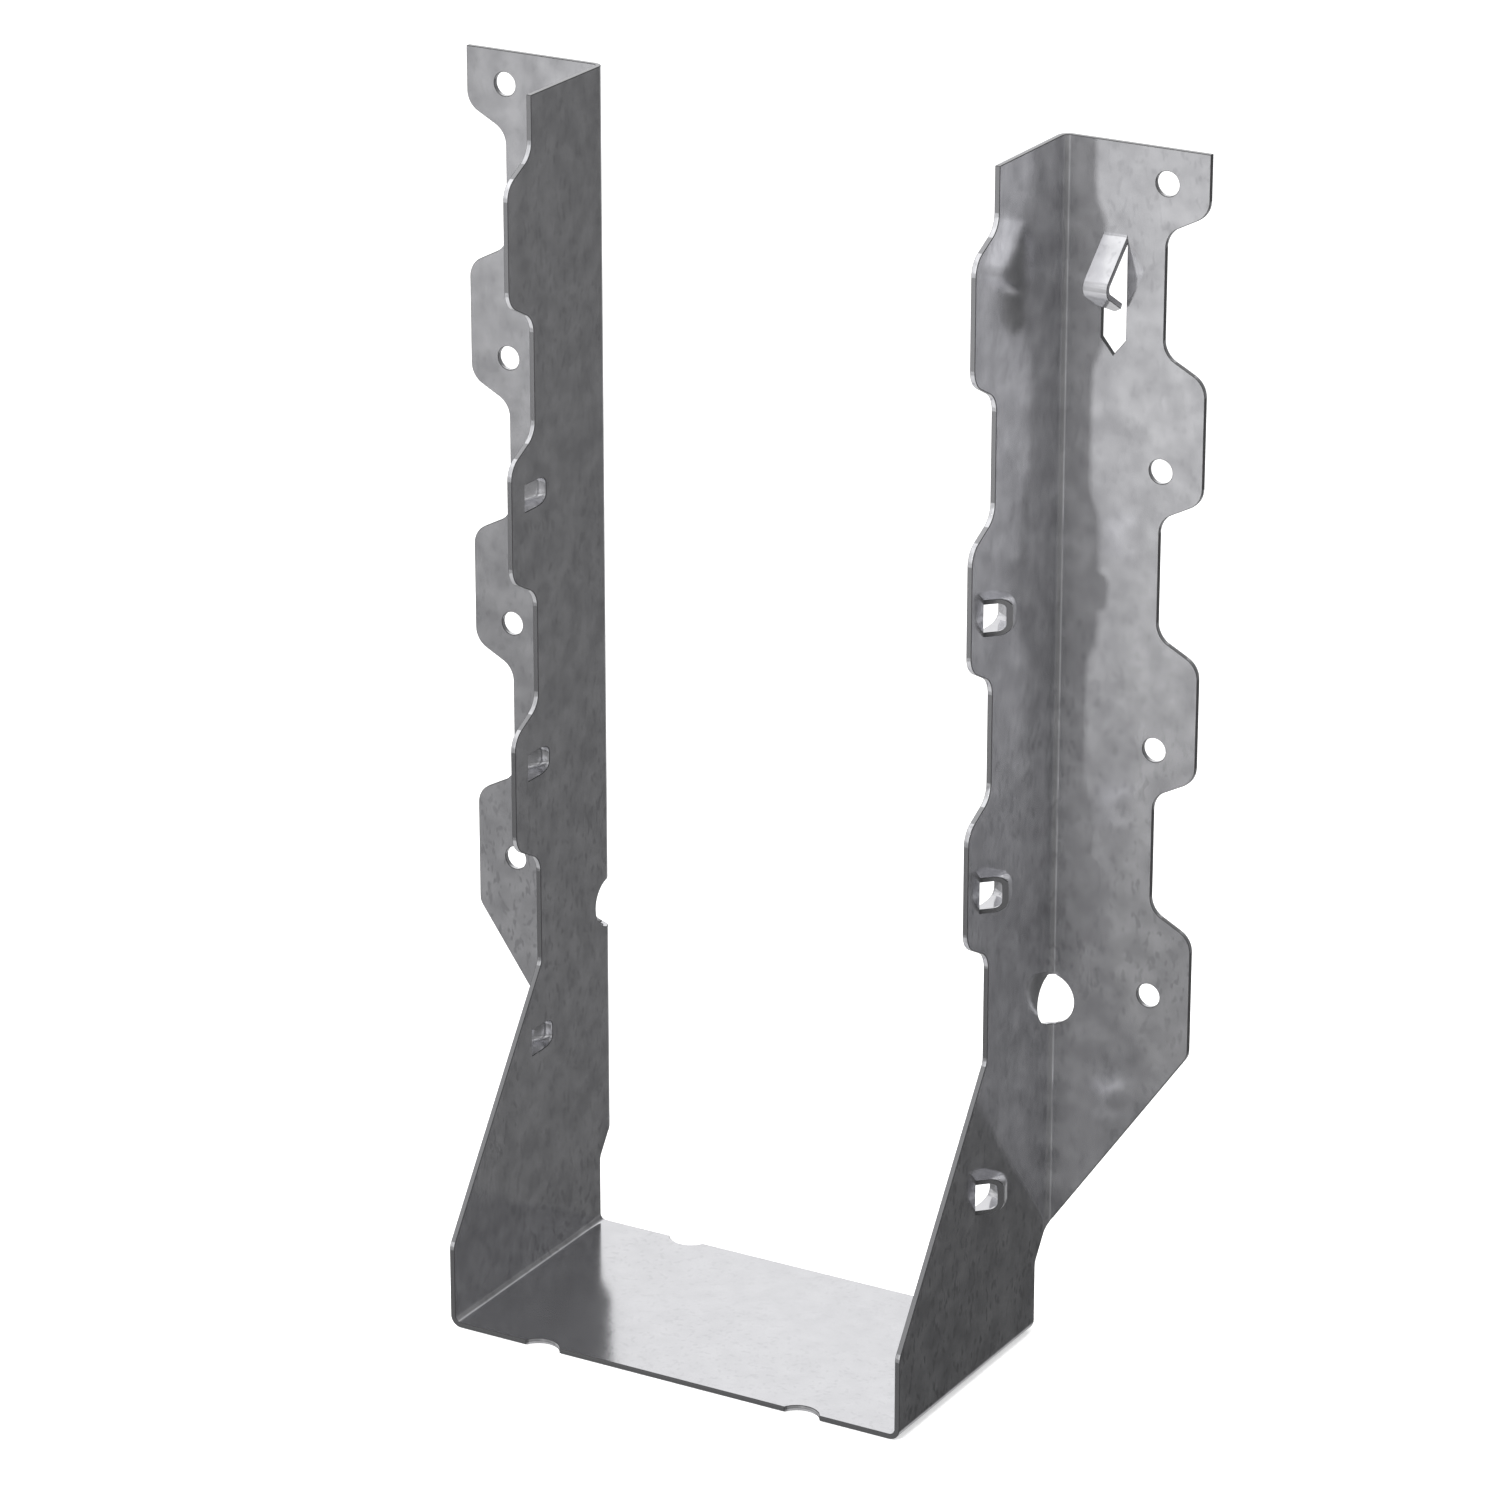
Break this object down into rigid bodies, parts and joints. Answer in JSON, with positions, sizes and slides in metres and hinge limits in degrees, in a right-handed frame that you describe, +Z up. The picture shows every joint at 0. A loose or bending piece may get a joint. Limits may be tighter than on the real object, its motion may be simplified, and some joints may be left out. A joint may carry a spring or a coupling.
{
  "type": "joist hanger",
  "caption": "Double-shear face-mount joist hanger folded from one galvanised sheet: seat, two sides with nail domes, two scalloped header flanges.",
  "frame": {"origin": "on the seat's underside, in the middle of the hanger's width and of its depth", "axes": "+Z up, +Y into the header, X across the joist"},
  "size_m": [0.147, 0.0558, 0.2222],
  "materials": {
    "galvanised_steel": "hot-dip galvanised, fine mottled spangle"
  },
  "bodies": {
    "root": {"joist_hanger": "galvanised_steel"}
  },
  "joints": []
}
